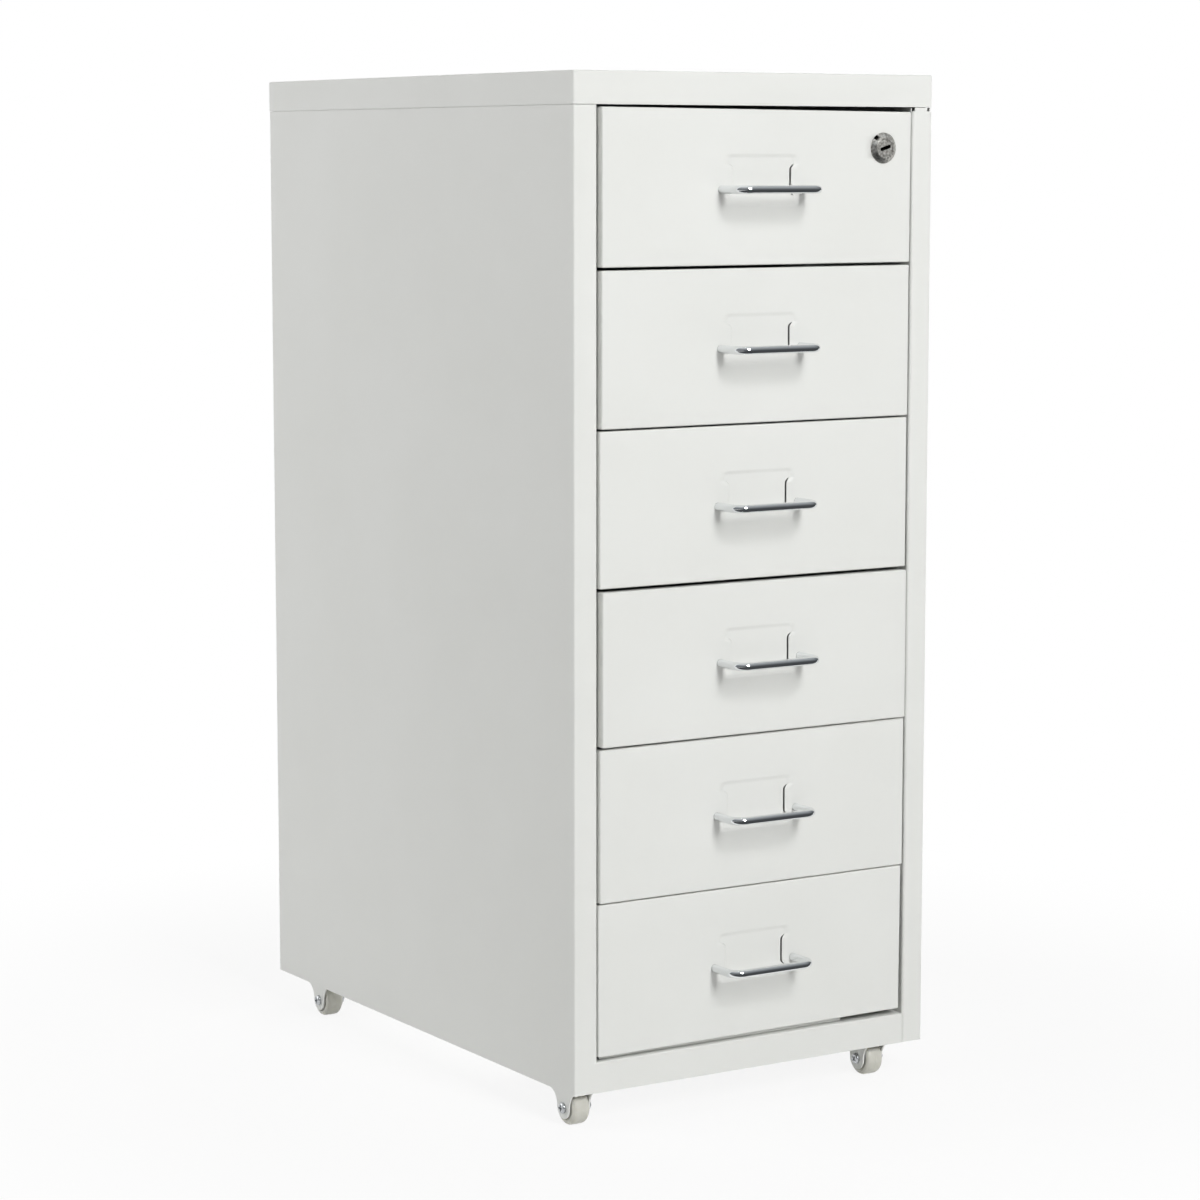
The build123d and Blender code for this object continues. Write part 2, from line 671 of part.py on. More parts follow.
with BuildPart() as lock_nut:
    with BuildSketch(upright(lock_face_y + 2 * sheet)):
        with Locations((lock_x, lock_axis_z)):
            RegularPolygon(lock_nut_across / 2, 6, major_radius=False)
            Circle(lock_barrel_radius + thread_clearance, mode=Mode.SUBTRACT)
    extrude(amount=-lock_nut_thickness)
lock_nut.part.label = "lock_nut"
export_step(lock_nut.part, "parts/lock_nut.step")

plug_face_y = lock_face_y - lock_flange_height + lock_plug_recess
with BuildPart() as lock_plug:
    with BuildSketch(upright(plug_face_y)):
        with Locations((lock_x, lock_axis_z)):
            Circle(lock_plug_radius)
    extrude(amount=plug_face_y - cam_y)
    with BuildSketch(upright(cam_y)):
        with Locations((lock_x, lock_axis_z)):
            Rectangle(cam_square, cam_square)
    extrude(amount=-cam_thickness)
    with BuildSketch(upright(plug_face_y)):
        with Locations((lock_x, lock_axis_z)):
            Rectangle(key_slot_length, key_slot_width, rotation=key_slot_tilt)
    extrude(amount=-key_slot_depth, mode=Mode.SUBTRACT)
    with BuildSketch(upright(cam_y + cam_thickness)):
        with Locations((lock_x, lock_axis_z)):
            Circle(cam_screw_radius + thread_clearance)
    extrude(amount=cam_screw_depth, mode=Mode.SUBTRACT)
lock_plug.part.label = "lock_plug"
export_step(lock_plug.part, "parts/lock_plug.step")

with BuildPart() as lock_cam:
    with BuildSketch(upright(cam_y)):
        with Locations((lock_x, lock_axis_z)):
            SlotCenterPoint(((cam_width / 2 - cam_length) / 2, 0), (0, 0), cam_width)
            square_hole = cam_square + 2 * thread_clearance
            Rectangle(square_hole, square_hole, mode=Mode.SUBTRACT)
    extrude(amount=-cam_thickness)
lock_cam.part.label = "lock_cam"
export_step(lock_cam.part, "parts/lock_cam.step")

with BuildPart() as cam_screw:
    with BuildSketch(upright(cam_y + cam_thickness)):
        with Locations((lock_x, lock_axis_z)):
            Circle(cam_screw_head_radius)
    extrude(amount=-cam_screw_head_height)
    with BuildSketch(upright(cam_y + cam_thickness)):
        with Locations((lock_x, lock_axis_z)):
            Circle(cam_screw_radius)
    extrude(amount=cam_screw_depth - thread_clearance)
    with BuildSketch(upright(cam_y + cam_thickness + cam_screw_head_height)):
        with Locations((lock_x, lock_axis_z)):
            Rectangle(cross_length, cross_width)
            Rectangle(cross_width, cross_length)
    extrude(amount=cross_depth, mode=Mode.SUBTRACT)
cam_screw.part.label = "cam_screw"
export_step(cam_screw.part, "parts/cam_screw.step")

# Strike: an angle under the lid, just in front of the raised cam
strike_y = cam_y - strike_gap
lid_underside = body_top - sheet
strike_points = (
    (strike_y - strike_sheet, lid_underside - strike_leg),
    (strike_y - strike_sheet, lid_underside),
    (strike_y - strike_sheet + strike_foot, lid_underside),
)
with BuildPart() as lock_strike:
    extrude(folded_sheet(Plane.YZ.offset(lock_x - strike_width / 2), strike_points, strike_sheet, Side.RIGHT,
                         strike_bend_radius),
            amount=strike_width)
lock_strike.part.label = "lock_strike"
export_step(lock_strike.part, "parts/lock_strike.step")
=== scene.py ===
import json
import math
import bpy
import numpy as np
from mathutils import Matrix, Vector


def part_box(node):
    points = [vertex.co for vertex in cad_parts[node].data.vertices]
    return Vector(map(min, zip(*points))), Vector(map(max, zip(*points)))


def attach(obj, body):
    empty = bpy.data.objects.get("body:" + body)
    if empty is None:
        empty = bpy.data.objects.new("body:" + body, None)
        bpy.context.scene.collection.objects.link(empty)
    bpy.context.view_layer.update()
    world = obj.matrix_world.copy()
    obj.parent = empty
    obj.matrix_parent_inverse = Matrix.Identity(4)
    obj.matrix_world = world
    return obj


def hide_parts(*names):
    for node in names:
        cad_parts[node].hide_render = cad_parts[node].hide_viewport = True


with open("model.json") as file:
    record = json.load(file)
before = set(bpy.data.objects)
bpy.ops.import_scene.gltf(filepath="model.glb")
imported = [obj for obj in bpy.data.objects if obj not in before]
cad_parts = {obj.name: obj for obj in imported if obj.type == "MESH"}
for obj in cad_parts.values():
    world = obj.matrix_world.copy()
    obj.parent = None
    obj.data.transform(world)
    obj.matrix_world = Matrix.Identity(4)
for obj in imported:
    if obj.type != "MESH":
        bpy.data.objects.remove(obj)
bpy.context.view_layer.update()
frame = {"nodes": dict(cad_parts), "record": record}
nodes = frame["nodes"]
drawers = range(1, 7)   # 1 is the top one
mmPerMetre = 1000


# sRGB hex to linear colour by the sRGB curve, so that colours are written as they look
def linearColour(hexText):
    srgb = np.array([int(hexText[i:i + 2], 16) for i in (1, 3, 5)]) / 255
    linear = np.where(srgb <= 0.04045, srgb / 12.92, ((srgb + 0.055) / 1.055) ** 2.4)
    return (*linear.tolist(), 1.0)


# Adds one node; a socket among the inputs is linked, anything else is set
def addNode(tree, kind, inputs=None, **settings):
    made = tree.nodes.new(kind)
    for name, value in settings.items():
        setattr(made, name, value)
    for name, value in (inputs or {}).items():
        if isinstance(value, bpy.types.NodeSocket):
            tree.links.new(value, made.inputs[name])
        else:
            made.inputs[name].default_value = value
    return made


# A Mix node's colour sockets go by number, because its other sockets have the same names
mixFirst, mixSecond, mixResult = 6, 7, 2


# A new material with an empty tree and its coordinate node, in metres of the shared frame
def newMaterial(name):
    material = bpy.data.materials.new(name)
    material.use_nodes = True
    tree = material.node_tree
    tree.nodes.clear()
    return material, tree, addNode(tree, "ShaderNodeTexCoord")


# Ends a tree with the surface that has these inputs
def endSurface(tree, inputs):
    surface = addNode(tree, "ShaderNodeBsdfPrincipled", inputs)
    addNode(tree, "ShaderNodeOutputMaterial", {"Surface": surface.outputs["BSDF"]})


# Noise scale for features of a given size in millimetres, as coordinates are metres
def perMetre(millimetres):
    return mmPerMetre / millimetres


# Polyester powder coat, sprayed and baked on sheet steel: satin white, a little warm, with a fine
# orange peel that breaks up the edges of highlights, and sheets that are not quite flat.
# Real peel is 1 to 3 mm, drawn at 3.2 so that it shows
coatLook = {
    "white": "#ECEDEA", "shade": "#E6E7E3", "patchSize": 90, "patchDetail": 4.0,
    "peelSize": 3.2, "peelDetail": 2.0, "peelGrain": 0.45, "peelHeight": 0.000025,
    "waveSize": 140, "waveDetail": 1.0, "waveHeight": 0.00012,
    "roughLow": 0.34, "roughHigh": 0.44, "ior": 1.5,
}


def powderCoat(name, look):
    material, tree, coords = newMaterial(name)
    here = coords.outputs["Object"]
    patches = addNode(tree, "ShaderNodeTexNoise", {
        "Vector": here, "Scale": perMetre(look["patchSize"]), "Detail": look["patchDetail"]})
    peel = addNode(tree, "ShaderNodeTexNoise", {
        "Vector": here, "Scale": perMetre(look["peelSize"]), "Detail": look["peelDetail"],
        "Roughness": look["peelGrain"]})
    wave = addNode(tree, "ShaderNodeTexNoise", {
        "Vector": here, "Scale": perMetre(look["waveSize"]), "Detail": look["waveDetail"]})
    colour = addNode(tree, "ShaderNodeMix", {
        "Factor": patches.outputs["Fac"], mixFirst: linearColour(look["white"]),
        mixSecond: linearColour(look["shade"])}, data_type="RGBA")
    rough = addNode(tree, "ShaderNodeMapRange", {
        "Value": peel.outputs["Fac"], "To Min": look["roughLow"], "To Max": look["roughHigh"]})
    waveBump = addNode(tree, "ShaderNodeBump", {
        "Height": wave.outputs["Fac"], "Distance": look["waveHeight"]})
    peelBump = addNode(tree, "ShaderNodeBump", {
        "Height": peel.outputs["Fac"], "Distance": look["peelHeight"], "Normal": waveBump.outputs["Normal"]})
    endSurface(tree, {"Base Color": colour.outputs[mixResult], "Roughness": rough.outputs["Result"],
                      "Normal": peelBump.outputs["Normal"], "IOR": look["ior"]})
    return material


# Bright chrome plate on drawn wire: a near mirror, with the finest lengthwise draw lines under the plate
chromeLook = {
    "colour": "#E4E6E7", "lineWidth": 0.35, "lineLength": 18, "lineDetail": 3.0, "lineHeight": 0.0000012,
    "roughLow": 0.05, "roughHigh": 0.11,
}


def chromePlate(name, look):
    material, tree, coords = newMaterial(name)
    # the wire's own map runs along it in u and round it in v, both in metres
    stretch = addNode(tree, "ShaderNodeMapping", {
        "Vector": coords.outputs["UV"],
        "Scale": (perMetre(look["lineLength"]), perMetre(look["lineWidth"]), 1.0)})
    lines = addNode(tree, "ShaderNodeTexNoise", {
        "Vector": stretch.outputs["Vector"], "Scale": 1.0, "Detail": look["lineDetail"]})
    rough = addNode(tree, "ShaderNodeMapRange", {
        "Value": lines.outputs["Fac"], "To Min": look["roughLow"], "To Max": look["roughHigh"]})
    bump = addNode(tree, "ShaderNodeBump", {
        "Height": lines.outputs["Fac"], "Distance": look["lineHeight"]})
    endSurface(tree, {"Base Color": linearColour(look["colour"]), "Metallic": 1.0,
                      "Roughness": rough.outputs["Result"], "Normal": bump.outputs["Normal"]})
    return material


# Bright zinc plate on turned steel: cool grey, cloudy, softer than chrome
zincLook = {
    "light": "#C6C9CC", "dark": "#A9ABAC", "cloudSize": 2.5, "cloudDetail": 5.0,
    "scratchSize": 0.5, "scratchDetail": 2.0, "scratchHeight": 0.000008, "roughLow": 0.2, "roughHigh": 0.36,
}


def zincPlate(name, look):
    material, tree, coords = newMaterial(name)
    here = coords.outputs["Object"]
    cloud = addNode(tree, "ShaderNodeTexNoise", {
        "Vector": here, "Scale": perMetre(look["cloudSize"]), "Detail": look["cloudDetail"]})
    scratches = addNode(tree, "ShaderNodeTexNoise", {
        "Vector": here, "Scale": perMetre(look["scratchSize"]), "Detail": look["scratchDetail"]})
    colour = addNode(tree, "ShaderNodeMix", {
        "Factor": cloud.outputs["Fac"], mixFirst: linearColour(look["light"]),
        mixSecond: linearColour(look["dark"])}, data_type="RGBA")
    rough = addNode(tree, "ShaderNodeMapRange", {
        "Value": cloud.outputs["Fac"], "To Min": look["roughLow"], "To Max": look["roughHigh"]})
    bump = addNode(tree, "ShaderNodeBump", {
        "Height": scratches.outputs["Fac"], "Distance": look["scratchHeight"]})
    endSurface(tree, {"Base Color": colour.outputs[mixResult], "Metallic": 1.0,
                      "Roughness": rough.outputs["Result"], "Normal": bump.outputs["Normal"]})
    return material


# Nickel plate on a die-cast lock: warm grey and mottled, with rings from the turning tool round the lock's axis,
# satin on the face, brighter on the cone round it, and painted near-black shade in the keyway and the notch
nickelLook = {
    # the near-black colour is painted shade, put in the keyway and the notch
    "light": "#DEDCD8", "dark": "#98968F", "recessShade": "#12110F", "ringPitch": 0.45, "ringHeight": 0.000003,
    "mottleSize": 1.6, "mottleDetail": 4.0, "mottleLow": 0.35, "mottleHigh": 0.65,
    "faceRadius": 7.1, "faceEdge": 0.3, "roughFace": 0.58, "roughCone": 0.26, "roughSpread": 0.16,
}


def turnedNickel(name, look, axisX, axisZ):
    material, tree, coords = newMaterial(name)
    # the lock's axis runs along Y, so y is dropped and what is left is the distance from the axis
    centred = addNode(tree, "ShaderNodeMapping", {
        "Vector": coords.outputs["Object"], "Location": (-axisX, 0.0, -axisZ), "Scale": (1.0, 0.0, 1.0)})
    radius = addNode(tree, "ShaderNodeVectorMath", {0: centred.outputs["Vector"]}, operation="LENGTH")
    turns = addNode(tree, "ShaderNodeMath", {
        0: radius.outputs["Value"], 1: 2 * math.pi * perMetre(look["ringPitch"])}, operation="MULTIPLY")
    rings = addNode(tree, "ShaderNodeMath", {0: turns.outputs["Value"]}, operation="SINE")
    mottle = addNode(tree, "ShaderNodeTexNoise", {
        "Vector": coords.outputs["Object"], "Scale": perMetre(look["mottleSize"]),
        "Detail": look["mottleDetail"]})
    spread = addNode(tree, "ShaderNodeMapRange", {
        "Value": mottle.outputs["Fac"], "From Min": look["mottleLow"], "From Max": look["mottleHigh"]})
    plate = addNode(tree, "ShaderNodeMix", {
        "Factor": spread.outputs["Result"], mixFirst: linearColour(look["light"]),
        mixSecond: linearColour(look["dark"])}, data_type="RGBA")
    # painted shade: points marked in the keyway and the notch turn near black, standing in for the shade in those
    # recesses
    recessShade = addNode(tree, "ShaderNodeAttribute", attribute_name="recessShade")
    colour = addNode(tree, "ShaderNodeMix", {
        "Factor": recessShade.outputs["Fac"], mixFirst: plate.outputs[mixResult],
        mixSecond: linearColour(look["recessShade"])}, data_type="RGBA")
    satin = addNode(tree, "ShaderNodeMapRange", {
        "Value": radius.outputs["Value"], "From Min": look["faceRadius"] / mmPerMetre,
        "From Max": (look["faceRadius"] + look["faceEdge"]) / mmPerMetre,
        "To Min": look["roughFace"], "To Max": look["roughCone"]})
    rough = addNode(tree, "ShaderNodeMath", {
        0: mottle.outputs["Fac"], 1: look["roughSpread"], 2: satin.outputs["Result"]}, operation="MULTIPLY_ADD")
    bump = addNode(tree, "ShaderNodeBump", {
        "Height": rings.outputs["Value"], "Distance": look["ringHeight"]})
    endSurface(tree, {"Base Color": colour.outputs[mixResult], "Metallic": 1.0,
                      "Roughness": rough.outputs["Value"], "Normal": bump.outputs["Normal"]})
    return material


# Natural polyamide, injection moulded: milky and a little yellow-green, light goes a few millimetres in
nylonLook = {
    "milk": "#D8D7CF", "flow": "#CBCAC0", "flowSize": 9, "flowDetail": 3.0, "flowSwirl": 1.5,
    "grainSize": 0.8, "grainDetail": 2.0, "grainHeight": 0.000012, "roughLow": 0.36, "roughHigh": 0.5,
    "ior": 1.53, "glowShare": 0.35, "glowTint": (1.0, 1.0, 0.8), "glowDepth": 0.003,
}


def mouldedNylon(name, look):
    material, tree, coords = newMaterial(name)
    here = coords.outputs["Object"]
    flow = addNode(tree, "ShaderNodeTexNoise", {
        "Vector": here, "Scale": perMetre(look["flowSize"]), "Detail": look["flowDetail"],
        "Distortion": look["flowSwirl"]})
    grain = addNode(tree, "ShaderNodeTexNoise", {
        "Vector": here, "Scale": perMetre(look["grainSize"]), "Detail": look["grainDetail"]})
    colour = addNode(tree, "ShaderNodeMix", {
        "Factor": flow.outputs["Fac"], mixFirst: linearColour(look["milk"]),
        mixSecond: linearColour(look["flow"])}, data_type="RGBA")
    rough = addNode(tree, "ShaderNodeMapRange", {
        "Value": flow.outputs["Fac"], "To Min": look["roughLow"], "To Max": look["roughHigh"]})
    bump = addNode(tree, "ShaderNodeBump", {
        "Height": grain.outputs["Fac"], "Distance": look["grainHeight"]})
    endSurface(tree, {"Base Color": colour.outputs[mixResult], "Roughness": rough.outputs["Result"],
                      "Normal": bump.outputs["Normal"], "IOR": look["ior"],
                      "Subsurface Weight": look["glowShare"], "Subsurface Radius": look["glowTint"],
                      "Subsurface Scale": look["glowDepth"]})
    return material


plugLow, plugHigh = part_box("lock_plug")
lockX, lockZ = (plugLow.x + plugHigh.x) / 2, (plugLow.z + plugHigh.z) / 2
finishes = {
    "white_steel": powderCoat("whitePowderCoat", coatLook),
    "chrome_wire": chromePlate("brightChromePlate", chromeLook),
    "zinc_steel": zincPlate("brightZincPlate", zincLook),
    "lock_nickel": turnedNickel("turnedNickelPlate", nickelLook, lockX, lockZ),
    "wheel_plastic": mouldedNylon("mouldedNaturalNylon", nylonLook),
}
for part in frame["record"]["subparts"]:
    holder = nodes[part["node"]]
    holder.data.materials.clear()
    holder.data.materials.append(finishes[part["material_slot"]])
print("finishes made:", ", ".join(material.name for material in finishes.values()))


# The four corners of each cell in a grid of point numbers
def gridQuads(index):
    return np.stack([index[:-1, :-1], index[:-1, 1:], index[1:, 1:], index[1:, :-1]], -1)


# Puts points and faces into a new object at the origin
def addMesh(name, vertices, faces, material, smooth=True):
    mesh = bpy.data.meshes.new(name)
    mesh.from_pydata(vertices.tolist(), [], faces)
    mesh.polygons.foreach_set("use_smooth", np.full(len(faces), smooth))
    mesh.materials.append(material)
    mesh.validate()
    mesh.update()
    piece = bpy.data.objects.new(name, mesh)
    bpy.context.scene.collection.objects.link(piece)
    return piece


# Says which body carries a piece, and hides the CAD node that it stands for, if there is one
def settle(piece, body, node):
    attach(piece, body)
    if node is not None:
        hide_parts(node)


# Puts a grid of points, rows by columns, into a piece. Each row closes on itself, the last row joins the first if
# asked to, and caps are two points that close the first and the last row
def gridPiece(name, points, body, slotName, node, caps=(), closeRows=False, uv=None, recessShade=None):
    rows, columns = points.shape[:2]
    vertices = points.reshape(-1, 3)
    index = np.arange(rows * columns).reshape(rows, columns)
    wrapped = np.hstack([index, index[:, :1]])
    if closeRows:
        wrapped = np.vstack([wrapped, wrapped[:1]])
    faces = gridQuads(wrapped).reshape(-1, 4).tolist()
    for cap, row, flip in zip(caps, (index[0], index[-1]), (True, False)):
        fan = np.stack([row, np.roll(row, -1), np.full(columns, len(vertices))], -1)
        faces += (fan[:, ::-1] if flip else fan).tolist()
        vertices = np.vstack([vertices, cap])
    piece = addMesh(name, vertices, faces, finishes[slotName])
    mesh = piece.data
    if uv is not None:
        # u goes with the row and v with the column; cells that close a row run back to its first v
        along, around = uv
        corner = np.zeros(len(mesh.loops), np.int64)
        mesh.loops.foreach_get("vertex_index", corner)
        grid = np.minimum(corner, rows * columns - 1)
        layer = mesh.uv_layers.new(name="lengthwise")
        layer.data.foreach_set("uv", np.stack([along[grid // columns], around[grid % columns]], -1).ravel())
    if recessShade is not None:
        # a share of painted shade from 0, none, to 1, full, for each point; caps take that of the row that they
        # close
        shares = np.concatenate([recessShade.ravel(), recessShade[[0, -1], 0] if caps else []])
        mesh.attributes.new("recessShade", "FLOAT", "POINT").data.foreach_set("value", shares)
    settle(piece, body, node)


# Wire pull: a circle carried along a path of foot, quarter bend, bar, quarter bend and foot. In the bends the
# circle is a little flatter across the bend, as bent wire is. The wire is a little slimmer than the solid's
pull = {"bendRadius": 0.008, "slim": 0.92, "flattening": 0.035,
        "footStations": 14, "barStations": 28, "bendStations": 20, "ringPoints": 40}


def wirePull(number):
    low, high = np.array(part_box(f"handle_{number}"))
    wire = (high[2] - low[2]) / 2
    barY, footY = low[1] + wire, high[1]
    leftX, rightX, middleZ = low[0] + wire, high[0] - wire, (low[2] + high[2]) / 2
    radius, bend = wire * pull["slim"], pull["bendRadius"]
    quarter = np.linspace(0, math.pi / 2, pull["bendStations"])
    onBend = quarter[1:]
    footRun = np.linspace(footY, barY + bend, pull["footStations"])
    barRun = np.linspace(leftX + bend, rightX - bend, pull["barStations"])
    pathX = np.concatenate([
        np.full(len(footRun), leftX), leftX + bend - bend * np.cos(onBend), barRun[1:],
        rightX - bend + bend * np.sin(onBend), np.full(len(footRun) - 1, rightX)])
    pathY = np.concatenate([
        footRun, barY + bend - bend * np.sin(onBend), np.full(len(barRun) - 1, barY),
        barY + bend - bend * np.cos(onBend), footRun[::-1][1:]])
    # heading is the angle of travel in plan: 0 is towards the front, a quarter turn is towards +X
    heading = np.concatenate([
        np.zeros(len(footRun)), onBend, np.full(len(barRun) - 1, math.pi / 2),
        math.pi / 2 + onBend, np.full(len(footRun) - 1, math.pi)])
    flat = 1 - pull["flattening"] * np.sin(2 * heading) ** 2
    angle = -np.linspace(0, 2 * math.pi, pull["ringPoints"], endpoint=False)
    # across is the horizontal direction square to the path, on the outside of the bends
    across = np.stack([-np.cos(heading), -np.sin(heading)], -1)
    side = radius * flat[:, None] * np.cos(angle)[None, :]
    points = np.stack([pathX[:, None] + across[:, :1] * side, pathY[:, None] + across[:, 1:] * side,
                       np.broadcast_to(middleZ + radius * np.sin(angle), side.shape)], -1)
    along = np.concatenate([[0], np.cumsum(np.hypot(np.diff(pathX), np.diff(pathY)))])
    gridPiece(f"wire_pull_{number}", points, f"drawer_{number}", "chrome_wire", f"handle_{number}",
              caps=((leftX, footY, middleZ), (rightX, footY, middleZ)), uv=(along, angle * radius))


for number in drawers:
    wirePull(number)
print("wire pulls made:", len(drawers))


# Smooth step from 0 to 1: 3 t squared less 2 t cubed, flat at both ends
def smoothStep(t):
    held = np.clip(t, 0, 1)
    return held * held * (3 - 2 * held)


# Goes evenly from the first of a pair to the second
def between(pair, share):
    return pair[0] + (pair[1] - pair[0]) * share


# Even runs of stations from mark to mark, joined; a count takes in both ends of its run
def joinedRuns(marks, counts):
    runs = [np.linspace(start, end, count) for start, end, count in zip(marks, marks[1:], counts)]
    return np.concatenate([runs[0], *(run[1:] for run in runs[1:])])


# Drawer front: a flat grid whose rim rolls back in a quarter circle and runs on as a flange.
# The label pocket sinks by a soft ramp from a crease above and below. Beside it the sheet is cut by two slits,
# whose ends curl outwards, and past those ends the sinking fades out sideways. The left slit stays nearly shut
front = {
    "edge": 0.0011, "edgeSteps": 6, "cornerSteps": 6, "sheet": 0.0008, "trimReach": 0.011,
    "creaseDrop": 0.029, "pocketHeight": 0.035, "sink": 0.0009, "ramp": 0.0032, "fade": 0.0075,
    "slitX": 0.0229, "slitHalf": 0.0105, "slitGap": (0.00015, 0.0009), "slitTip": 0.0008, "tipPlaces": 6,
    "curlReach": 0.0032, "curlRise": 0.0036, "curlSpread": 0.009, "curlFade": 0.007,
    "fineOut": 0.012, "fineIn": 0.008, "fineUp": 0.024,
    "outerCounts": (15, 14), "innerCounts": (7, 9), "rowCounts": (10, 161, 10),
    "lockDrawer": 1, "lockHalf": 0.007,
}
# Each front was bent and hung by hand, so its edges stand off true by these millimetres: the right edge at its
# bottom and top, the top edge at its left and right, and the bottom edge at its left and right
frontTrim = {
    1: ((-2.0, -1.7), (0.3, -1.5), (0.0, 0.0)),
    2: ((-1.9, -1.9), (0.0, 0.0), (0.0, 0.0)),
    3: ((-0.6, -0.6), (0.6, 0.6), (0.0, 0.0)),
    4: ((-2.2, -2.1), (0.0, 0.0), (0.0, 0.0)),
    5: ((-0.7, -0.7), (0.3, 0.9), (0.0, 0.0)),
    6: ((-1.0, -0.4), (0.9, 1.1), (0.3, 1.4)),
}


# Trim: points near an edge move with it, less and less over a short reach inwards
def trimmedEdges(number, x, z, low, high):
    edge, reach = front["edge"], front["trimReach"]
    right, top, bottom = np.array(frontTrim[number]) / mmPerMetre
    shareX, shareZ = (x - low[0]) / (high[0] - low[0]), (z - low[2]) / (high[2] - low[2])
    nearRight = np.clip(1 - (high[0] - edge - x) / reach, 0, 1)
    nearTop = np.clip(1 - (high[2] - edge - z) / reach, 0, 1)
    nearBottom = np.clip(1 - (z - low[2] - edge) / reach, 0, 1)
    return (x + nearRight * between(right, shareZ),
            z + nearTop * between(top, shareX) + nearBottom * between(bottom, shareX))


# Rim: the border of the grid, anticlockwise, each point with its outward direction and a fan at each corner,
# carried round a quarter circle and straight back. Gives the new points, and quads in which they come after the
# points of the grid
def rolledRim(flat, index, low, high):
    edge = front["edge"]
    quarter = np.linspace(0, math.pi / 2, front["cornerSteps"] + 1)[1:-1]
    ring, heading = [], []
    for turn, border in enumerate((index[0, :], index[:, -1], index[-1, ::-1], index[::-1, 0])):
        # where a slit has closed, its point comes twice in a row and is taken once
        border = border[np.insert(np.diff(border) != 0, 0, True)]
        start = -math.pi / 2 + turn * math.pi / 2
        ring += [border, np.full(len(quarter), border[-1])]
        heading += [np.full(len(border), start), start + quarter]
    ring, heading = np.concatenate(ring), np.concatenate(heading)
    root = flat.reshape(-1, 3)[ring]
    roll = np.linspace(0, math.pi / 2, front["edgeSteps"] + 1)[1:]
    reach = np.append(edge * np.sin(roll), edge)[:, None]
    back = np.append(low[1] + edge * (1 - np.cos(roll)), high[1])[:, None]
    rim = np.stack([root[:, 0] + reach * np.cos(heading), np.broadcast_to(back, (len(back), len(ring))),
                    root[:, 2] + reach * np.sin(heading)], -1)
    loops = np.vstack([ring, index.size + np.arange(len(back) * len(ring)).reshape(len(back), len(ring))])
    nextLoop = np.roll(loops, -1, 1)
    quads = np.stack([loops[:-1], loops[1:], nextLoop[1:], nextLoop[:-1]], -1)
    return rim.reshape(-1, 3), quads.reshape(-1, 4)


